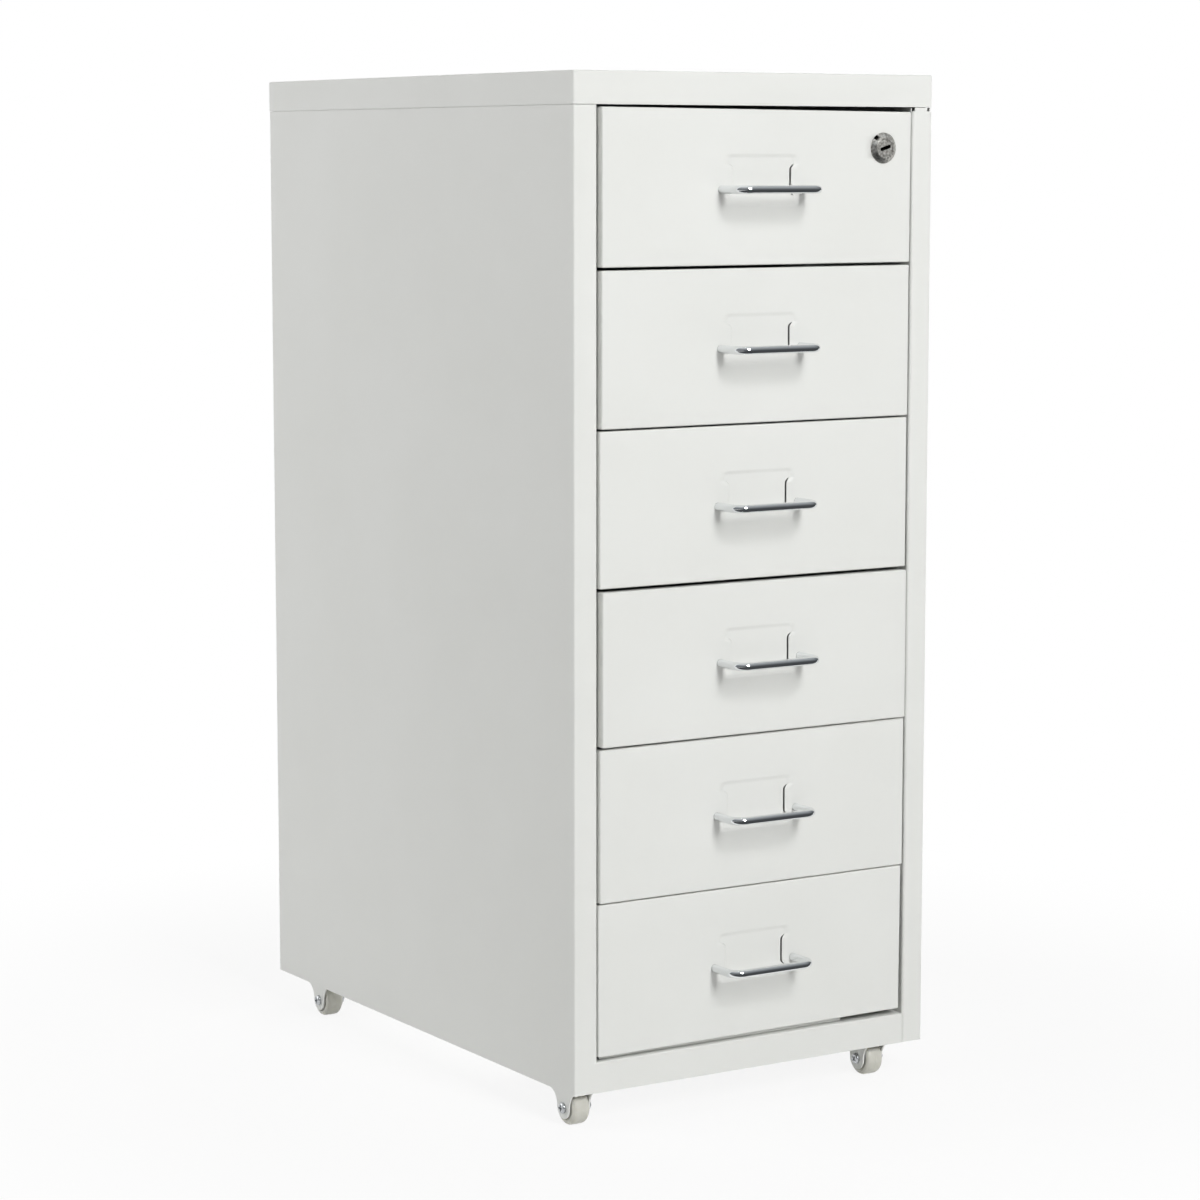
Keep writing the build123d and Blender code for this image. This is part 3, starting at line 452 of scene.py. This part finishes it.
def pressedFront(number):
    low, high = np.array(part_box(f"drawer_front_{number}"))
    edge, slitX, slitHalf, lockHalf = front["edge"], front["slitX"], front["slitHalf"], front["lockHalf"]
    middleX = (low[0] + high[0]) / 2
    halfX = (high[0] - low[0]) / 2 - edge
    middleZ = high[2] - front["creaseDrop"] - front["pocketHeight"] / 2
    # stations across: two runs share each slit, one for either side of it
    outer = joinedRuns((slitX, slitX + front["fineOut"], halfX), front["outerCounts"])
    inner = joinedRuns((0, slitX - front["fineIn"], slitX), front["innerCounts"])
    rows = joinedRuns((low[2] + edge, middleZ - front["fineUp"], middleZ + front["fineUp"], high[2] - edge),
                      front["rowCounts"])
    if number == front["lockDrawer"]:
        # the lock's barrel goes through here, so grid lines run round it
        for stations, centre in ((outer, lockX - middleX), (rows, lockZ)):
            for place in (centre - lockHalf, centre + lockHalf):
                stations[np.argmin(np.abs(stations - place))] = place
    across = np.concatenate([-outer[::-1], -inner[::-1], inner[1:], outer])
    outside = np.repeat([True, False, True], [len(outer), 2 * len(inner) - 1, len(outer)])
    slits = [len(outer) - 1, len(outer) + 2 * len(inner) - 2]
    fromMiddle = np.abs(rows - middleZ)[:, None]
    side, away = np.sign(across), np.abs(across)
    # the slits open to their full gap, half of it to either side, a little way in from their ends, where they lean
    # outwards; the rounding shuts the ends exactly
    opening = np.clip(np.round((slitHalf - fromMiddle) / front["slitTip"], front["tipPlaces"]), 0, 1)
    curl = front["curlReach"] * np.clip((fromMiddle - slitHalf + front["curlRise"]) / front["curlRise"], 0, 1) ** 2
    curl = curl * (1 - smoothStep((fromMiddle - slitHalf) / front["curlFade"]))
    near = np.clip(1 - np.abs(away - slitX) / front["curlSpread"], 0, 1)
    slitGap = np.where(side < 0, *front["slitGap"])
    gap = np.where(np.isclose(away, slitX), np.where(outside, 0.5, -0.5), 0.0) * slitGap * opening
    x = middleX + side * (away + curl * near + gap)
    z = np.broadcast_to(rows[:, None], x.shape)
    ramp = smoothStep((front["pocketHeight"] / 2 - fromMiddle) / front["ramp"])
    beside = 1 - smoothStep((away - slitX) / front["fade"])
    beside = beside * smoothStep((fromMiddle - slitHalf) / front["curlRise"] + 1)
    sink = front["sink"] * ramp * np.where(outside, beside, 1.0)
    x, z = trimmedEdges(number, x, z, low, high)
    flat = np.stack([x, low[1] + sink, z], -1)
    # past the ends of a slit its two sides are one line of points
    index = np.arange(x.size).reshape(x.shape)
    closed = opening[:, 0] == 0
    for slit in slits:
        index[closed, slit + 1] = index[closed, slit]
    quads = gridQuads(index)
    keep = np.ones(quads.shape[:2], bool)
    keep[:, slits] = False
    if number == front["lockDrawer"]:
        midX = (x[:-1, :-1] + x[:-1, 1:]) / 2
        midZ = (z[:-1, :-1] + z[1:, :-1]) / 2
        keep &= ~((np.abs(midX - lockX) < lockHalf) & (np.abs(midZ - lockZ) < lockHalf))
    rim, rimQuads = rolledRim(flat, index, low, high)
    # in the fans a quad of the first ring has no inner side and is a triangle
    pinched = rimQuads[:, 0] == rimQuads[:, 3]
    shapes = (quads[keep], rimQuads[~pinched], rimQuads[pinched][:, :3])
    # points that no face uses, such as the second of each pair where a slit has closed, are left out
    points = np.vstack([flat.reshape(-1, 3), rim])
    used = np.unique(np.concatenate([shape.ravel() for shape in shapes]))
    place = np.zeros(len(points), np.int64)
    place[used] = np.arange(len(used))
    faces = [face for shape in shapes for face in place[shape].tolist()]
    piece = addMesh(f"pressed_front_{number}", points[used], faces, finishes["white_steel"])
    sheet = piece.modifiers.new("sheetThickness", "SOLIDIFY")
    sheet.thickness, sheet.offset = front["sheet"], -1.0   # inwards from the face
    settle(piece, f"drawer_{number}", f"drawer_front_{number}")


for number in drawers:
    pressedFront(number)
print("drawer fronts made:", len(drawers))


# Puts two points on either side of each corner of a closed profile in its place, so that flats stay flat when
# shaded smooth
def softCorners(profile, soft):
    def towards(other):
        step = other - profile
        return step / np.linalg.norm(step, axis=1, keepdims=True)
    back, on = towards(np.roll(profile, 1, 0)), towards(np.roll(profile, -1, 0))
    return np.stack([profile + 2 * soft * back, profile + soft * back,
                     profile + soft * on, profile + 2 * soft * on], 1)


# Lip under the bottom front: a strip folded down from its flange to just above the rail, short of the right end.
# Its section is a thin upright rectangle, and its top follows the trim of the front's bottom edge
lip = {"setBack": 0.0055, "sheet": 0.0008, "drop": 0.0022, "joint": 0.0004, "fromLeft": 0.004, "toShare": 0.81,
       "soft": 0.0001, "stations": 24}


def foldedLip(number):
    low, high = np.array(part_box(f"drawer_front_{number}"))
    width = high[0] - low[0]
    along = np.linspace(low[0] + lip["fromLeft"], low[0] + lip["toShare"] * width, lip["stations"])
    _, _, bottomTrim = np.array(frontTrim[number]) / mmPerMetre
    tops = low[2] + between(bottomTrim, (along - low[0]) / width) + lip["joint"]
    foot = low[2] - lip["drop"]
    near, far = low[1] + lip["setBack"], low[1] + lip["setBack"] + lip["sheet"]
    sections = np.stack([softCorners(np.array([(near, top), (near, foot), (far, foot), (far, top)]),
                                     lip["soft"]).reshape(-1, 2) for top in tops])
    points = np.concatenate([np.broadcast_to(along[:, None, None], (*sections.shape[:2], 1)), sections], -1)
    gridPiece(f"folded_lip_{number}", points, f"drawer_{number}", "white_steel", None,
              caps=((along[0], *sections[0].mean(0)), (along[-1], *sections[-1].mean(0))))


foldedLip(drawers[-1])
print("lip made")


# Cam lock: a profile turned round the lock's axis, of lip, cone, rim, barrel and bore, with a notch sunk into the
# cone. The plug in it is a stack of rings from the floor of the keyway up, over the face and back to the square
# end. A ring's radius at an angle is that of a rounded rectangle: cosine and sine over their half sizes, each to a
# high power, summed, and the root of that turned over
lock = {
    "lip": 0.0071, "height": 0.0034, "rim": 0.0007, "barrel": 0.008, "play": 0.0001, "soft": 0.0001,
    "turns": 240, "coneSteps": 12, "notchTurn": 132, "notchHalf": 9, "notchSoft": 2, "notchFrom": 0.0077,
    "notchWall": 0.0003, "notchFloor": 0.0004, "notchShare": 0.97,
    "plugDrop": 0.0002, "faceShares": (0.25, 0.5, 0.75), "ringPoints": 144,
    "keyLength": 0.0083, "keyWidth": 0.0021, "keyDepth": 0.005, "keyTilt": 17, "keyEdge": 0.0003, "keyPower": 6,
    "square": 0.007, "squarePower": 20,
}
lockFace = np.array(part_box("drawer_front_1"))[0, 1]


def turnedFlange():
    low, high = np.array(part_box("lock_body"))
    rim, bore = (high[0] - low[0]) / 2, (plugHigh.x - plugLow.x) / 2 + lock["play"]
    end = lockFace - high[1]
    corners = np.array([(bore, lock["height"]), (lock["lip"], lock["height"]), (rim, lock["rim"]), (rim, 0),
                        (lock["barrel"], 0), (lock["barrel"], end), (bore, end)])
    soft = softCorners(corners, lock["soft"])
    cone = np.linspace(soft[1, -1], soft[2, 0], lock["coneSteps"])[1:-1]
    radius, rise = np.vstack([soft[:2].reshape(-1, 2), cone, soft[2:].reshape(-1, 2)]).T
    turn = np.linspace(0, 2 * math.pi, lock["turns"], endpoint=False)
    off = np.degrees(np.abs((turn - math.radians(lock["notchTurn"]) + math.pi) % (2 * math.pi) - math.pi))
    inNotch = 1 - smoothStep((off - lock["notchHalf"]) / lock["notchSoft"])
    notch = inNotch[:, None] * smoothStep((radius - lock["notchFrom"]) / lock["notchWall"]) * (rise > 0)
    outward = rise - notch * lock["notchShare"] * np.maximum(rise - lock["notchFloor"], 0)
    points = np.stack([lockX + np.cos(turn)[:, None] * radius, lockFace - outward,
                       lockZ + np.sin(turn)[:, None] * radius], -1)
    # the sunk notch gets painted shade by its share
    gridPiece("turned_lock_flange", points, "drawer_1", "lock_nickel", "lock_body", closeRows=True, recessShade=notch)


def keyedPlug():
    radius, faceY = (plugHigh.x - plugLow.x) / 2, lockFace - lock["height"] + lock["plugDrop"]
    camY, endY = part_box("lock_cam")[0].y, plugHigh.y
    edge, soft = lock["keyEdge"], lock["soft"]
    angle = -np.linspace(0, 2 * math.pi, lock["ringPoints"], endpoint=False)

    def oblong(long, wide, power):
        return (np.abs(np.cos(angle) / long) ** power + np.abs(np.sin(angle) / wide) ** power) ** (-1 / power)
    halfLong, halfWide, halfSquare = lock["keyLength"] / 2, lock["keyWidth"] / 2, lock["square"] / 2
    keyway = oblong(halfLong, halfWide, lock["keyPower"])
    mouth = oblong(halfLong + edge, halfWide + edge, lock["keyPower"])
    square = oblong(halfSquare, halfSquare, lock["squarePower"])
    disc = np.full(len(angle), radius)
    faceRim = disc - edge
    # each ring: radius, place along the axis, share of painted shade
    rings = [(keyway, faceY + lock["keyDepth"], 1), (keyway, faceY + 2 * edge, 1), (keyway, faceY + edge, 1),
             (mouth, faceY, 0), (mouth + soft, faceY, 0)]
    rings += [(mouth + (faceRim - mouth) * share, faceY, 0) for share in lock["faceShares"]]
    rings += [(faceRim - soft, faceY, 0), (faceRim, faceY, 0), (disc, faceY + edge, 0),
              (disc, faceY + 2 * edge, 0), (disc, camY - soft, 0), (disc, camY, 0), (disc - edge, camY, 0),
              (square, camY, 0), (square, camY + soft, 0), (square, endY - soft, 0), (square, endY, 0)]
    radii, depth, recessShaded = (np.array(values, float) for values in zip(*rings))
    turned = angle + math.radians(lock["keyTilt"])
    points = np.stack([lockX + radii * np.cos(turned), np.broadcast_to(depth[:, None], radii.shape),
                       lockZ + radii * np.sin(turned)], -1)
    gridPiece("keyed_plug", points, "lock_cylinder", "lock_nickel", "lock_plug",
              caps=((lockX, depth[0], lockZ), (lockX, depth[-1], lockZ)),
              recessShade=np.repeat(recessShaded[:, None], len(angle), 1))


turnedFlange()
keyedPlug()
print("lock made: flange and plug")


# Wheel: a profile turned round the axle. The tread has round shoulders and a fine ridge from the parting of
# the mould, a bell curve across it. The sides are dished between rim and hub, and the bore is plain
wheel = {"shoulder": 0.003, "shoulderSteps": 12, "ridgeHeight": 0.00012, "ridgeWidth": 0.0004, "treadSteps": 24,
         "rim": 0.0033, "hub": 0.005, "bore": 0.0031, "dish": 0.0008, "edge": 0.0003, "turns": 96}
wheelCorners = ("front_left", "front_right", "rear_left", "rear_right")


def mouldedWheel(corner):
    low, high = np.array(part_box(f"castor_wheel_{corner}"))
    middle = (low + high) / 2
    half, radius = (high[0] - low[0]) / 2, (high[2] - low[2]) / 2 - wheel["ridgeHeight"]
    shoulder, bore, edge, dish = wheel["shoulder"], wheel["bore"], wheel["edge"], wheel["dish"]
    # right half of the profile from the middle of the tread outwards, down the side and into the bore
    treadX = np.linspace(0, half - shoulder, wheel["treadSteps"])
    treadR = radius + wheel["ridgeHeight"] * np.exp(-(treadX / wheel["ridgeWidth"]) ** 2)
    sweep = np.linspace(0, math.pi / 2, wheel["shoulderSteps"])[1:]
    shoulderX = half - shoulder * (1 - np.sin(sweep))
    shoulderR = radius - shoulder * (1 - np.cos(sweep))
    rimR, hubR = radius - wheel["rim"], wheel["hub"]
    sideX = half - np.array([0, edge, dish - edge, dish, dish, dish - edge, edge, 0, 0, edge])
    sideR = np.array([rimR, rimR - edge, rimR - edge, rimR - 2 * edge, hubR + 2 * edge, hubR + edge, hubR + edge,
                      hubR, bore + edge, bore])
    profileX = np.concatenate([treadX, shoulderX, sideX, [0]])
    profileR = np.concatenate([treadR, shoulderR, sideR, [bore]])
    fullX = np.concatenate([profileX, -profileX[::-1][1:-1]])
    fullR = np.concatenate([profileR, profileR[::-1][1:-1]])
    turn = -np.linspace(0, 2 * math.pi, wheel["turns"], endpoint=False)
    points = np.stack([np.broadcast_to(middle[0] + fullX, (len(turn), len(fullX))),
                       middle[1] + np.cos(turn)[:, None] * fullR, middle[2] + np.sin(turn)[:, None] * fullR], -1)
    gridPiece(f"moulded_wheel_{corner}", points, f"wheel_{corner}", "wheel_plastic", f"castor_wheel_{corner}",
              closeRows=True)


for corner in wheelCorners:
    mouldedWheel(corner)
print("wheels made:", len(wheelCorners))


# 1 where the camera, metal or glass looks straight at something, 0 where it only lights other things
def directSight(tree):
    rays = addNode(tree, "ShaderNodeLightPath")
    seen = addNode(tree, "ShaderNodeMath", {
        0: rays.outputs["Is Camera Ray"], 1: rays.outputs["Is Glossy Ray"]}, operation="MAXIMUM")
    seenToo = addNode(tree, "ShaderNodeMath", {
        0: seen.outputs["Value"], 1: rays.outputs["Is Transmission Ray"]}, operation="MAXIMUM")
    return seenToo.outputs["Value"]


# Floor: matte paper that looks plain white, with a little of the light and shade that falls on it near the object
# and none further out, where it runs into the background
floorLook = {"half": 12.0, "colour": "#F4F4F3", "rough": 0.9, "gloss": 0.1, "lit": 0.3, "faded": 0.75,
             "glow": 0.88, "far": "#FFFFFF"}


def paperSweep(name, look):
    material, tree, coords = newMaterial(name)
    paper = addNode(tree, "ShaderNodeBsdfPrincipled", {
        "Base Color": linearColour(look["colour"]), "Roughness": look["rough"],
        "Specular IOR Level": look["gloss"]})
    distance = addNode(tree, "ShaderNodeVectorMath", {0: coords.outputs["Object"]}, operation="LENGTH")
    fade = addNode(tree, "ShaderNodeMapRange", {
        "Value": distance.outputs["Value"], "From Min": look["lit"], "From Max": look["faded"],
        "To Min": look["glow"]}, interpolation_type="SMOOTHSTEP")
    share = addNode(tree, "ShaderNodeMath", {0: fade.outputs["Result"], 1: directSight(tree)},
                    operation="MULTIPLY")
    white = addNode(tree, "ShaderNodeEmission", {"Color": linearColour(look["far"])})
    mixed = addNode(tree, "ShaderNodeMixShader", {
        "Fac": share.outputs["Value"], 1: paper.outputs["BSDF"], 2: white.outputs["Emission"]})
    addNode(tree, "ShaderNodeOutputMaterial", {"Surface": mixed.outputs["Shader"]})
    return material


floorCorners = np.array([[-1, -1, 0], [1, -1, 0], [1, 1, 0], [-1, 1, 0]]) * floorLook["half"]
floor = addMesh("floor", floorCorners, [[0, 1, 2, 3]], paperSweep("mattePaperSweep", floorLook), smooth=False)

# World: an even soft fill, and plain white where the camera, metal or glass looks at it
worldLook = {"colour": "#FFFFFF", "fill": 0.2, "seen": 1.0}
world = bpy.data.worlds.new("softStudio")
bpy.context.scene.world = world
world.use_nodes = True
worldTree = world.node_tree
worldTree.nodes.clear()
fill, plain = (addNode(worldTree, "ShaderNodeBackground", {
    "Color": linearColour(worldLook["colour"]), "Strength": worldLook[part]}) for part in ("fill", "seen"))
mixed = addNode(worldTree, "ShaderNodeMixShader", {
    "Fac": directSight(worldTree), 1: fill.outputs["Background"], 2: plain.outputs["Background"]})
addNode(worldTree, "ShaderNodeOutputWorld", {"Surface": mixed.outputs["Shader"]})

# Soft lamps: each is a rectangle, placed and aimed in metres. The last is a weak one under the cabinet, for the
# light that a long white sweep throws back on the rear wheels
lamps = {
    "keyAbove": {"at": (0.0, -3.1, 2.2), "aim": (0.0, -0.2, 0.38), "wide": 0.85, "tall": 1.8, "watts": 81},
    "fillLeft": {"at": (-1.9, 1.2, 1.1), "aim": (-0.14, 0.0, 0.35), "wide": 1.2, "tall": 1.4, "watts": 17.5},
    "fillRear": {"at": (1.5, 1.9, 1.5), "aim": (0.1, 0.1, 0.35), "wide": 1.2, "tall": 1.4, "watts": 15},
    "bounceUnder": {"at": (-0.02, 0.06, 0.027), "aim": (-0.02, 0.061, 0.0), "wide": 0.2, "tall": 0.24,
                    "watts": 0.07},
}
for name, lamp in lamps.items():
    light = bpy.data.lights.new(name, "AREA")
    light.shape = "RECTANGLE"
    light.size, light.size_y, light.energy = lamp["wide"], lamp["tall"], lamp["watts"]
    holder = bpy.data.objects.new(name, light)
    holder.location = lamp["at"]
    holder.rotation_euler = (Vector(lamp["aim"]) - Vector(lamp["at"])).to_track_quat("-Z", "Y").to_euler()
    bpy.context.scene.collection.objects.link(holder)

# The dark end of the studio, behind the camera and lamps and out of the picture: a wall that is part of a sphere,
# dark low down and paler higher up, and a dark floor before it. Only metal and gloss see them, as bands along the
# wire pulls. A shade goes with the height on the wall as a share of its radius
room = {
    "radius": 4.3, "centre": (0.0, -0.1, 0.0), "fromTurn": -92, "toTurn": 125, "turnSteps": 40,
    "fromRise": 0, "toRise": 88, "riseSteps": 30,
    "shades": ((0.0, "#515356"), (0.16, "#595B5E"), (0.5, "#868A8D"), (0.62, "#94989B"), (0.87, "#BCBFC1"),
               (1.0, "#EFF0F0")),
}
apron = {"near": -0.262, "far": -4.3, "left": -1.6, "right": 4.3, "height": 0.003,
         "shades": ((0.0, "#4A4C4E"), (1.0, "#515356"))}


def darkStage(name, points, shades):
    felt, tree, coords = newMaterial(name)
    place = addNode(tree, "ShaderNodeSeparateXYZ", {0: coords.outputs["Object"]})
    share = addNode(tree, "ShaderNodeMath", {0: place.outputs["Z"], 1: room["radius"]}, operation="DIVIDE")
    ramp = addNode(tree, "ShaderNodeValToRGB", {"Fac": share.outputs["Value"]})
    marks = ramp.color_ramp.elements
    for position, _ in shades[1:-1]:
        marks.new(position)
    for mark, (position, hexText) in zip(marks, shades):
        mark.position, mark.color = position, linearColour(hexText)
    glow = addNode(tree, "ShaderNodeEmission", {"Color": ramp.outputs["Color"]})
    addNode(tree, "ShaderNodeOutputMaterial", {"Surface": glow.outputs["Emission"]})
    vertices = points.reshape(-1, 3)
    quads = gridQuads(np.arange(len(vertices)).reshape(points.shape[:2])).reshape(-1, 4)
    piece = addMesh(name, vertices, quads.tolist(), felt, smooth=False)
    for unseen in ("visible_camera", "visible_diffuse", "visible_shadow", "visible_transmission"):
        setattr(piece, unseen, False)


# turn is counted from straight in front towards the right, rise from level to overhead
turn, rise = np.meshgrid(np.radians(np.linspace(room["fromTurn"], room["toTurn"], room["turnSteps"])),
                         np.radians(np.linspace(room["fromRise"], room["toRise"], room["riseSteps"])))
wallWay = np.stack([np.sin(turn) * np.cos(rise), -np.cos(turn) * np.cos(rise), np.sin(rise)], -1)
darkStage("darkWall", np.array(room["centre"]) + room["radius"] * wallWay, room["shades"])
apronX, apronY = np.meshgrid([apron["left"], apron["right"]], [apron["near"], apron["far"]])
darkStage("darkApron", np.stack([apronX, apronY, np.full(apronX.shape, apron["height"])], -1), apron["shades"])
print("stage made: floor, world,", len(lamps), "lamps and a dark end of the room")

# Camera at the photograph's viewing angle; place in metres, turns in degrees, lens and sensor in millimetres.
# Unturned it looks straight down, so level is a quarter turn up
view = {"at": (-1.3026, -2.0835, 0.634), "yaw": 32.07, "pitch": 7.268, "lens": 103.81, "sensor": 36.0,
        "level": 90, "seesTo": 100.0}
camera = bpy.data.cameras.new("photoView")
camera.lens, camera.sensor_width, camera.clip_end = view["lens"], view["sensor"], view["seesTo"]
cameraHolder = bpy.data.objects.new("photoView", camera)
cameraHolder.location = view["at"]
cameraHolder.rotation_euler = (math.radians(view["level"] - view["pitch"]), 0.0, math.radians(-view["yaw"]))
bpy.context.scene.collection.objects.link(cameraHolder)
bpy.context.scene.camera = cameraHolder
bpy.context.scene.view_settings.view_transform = "Standard"
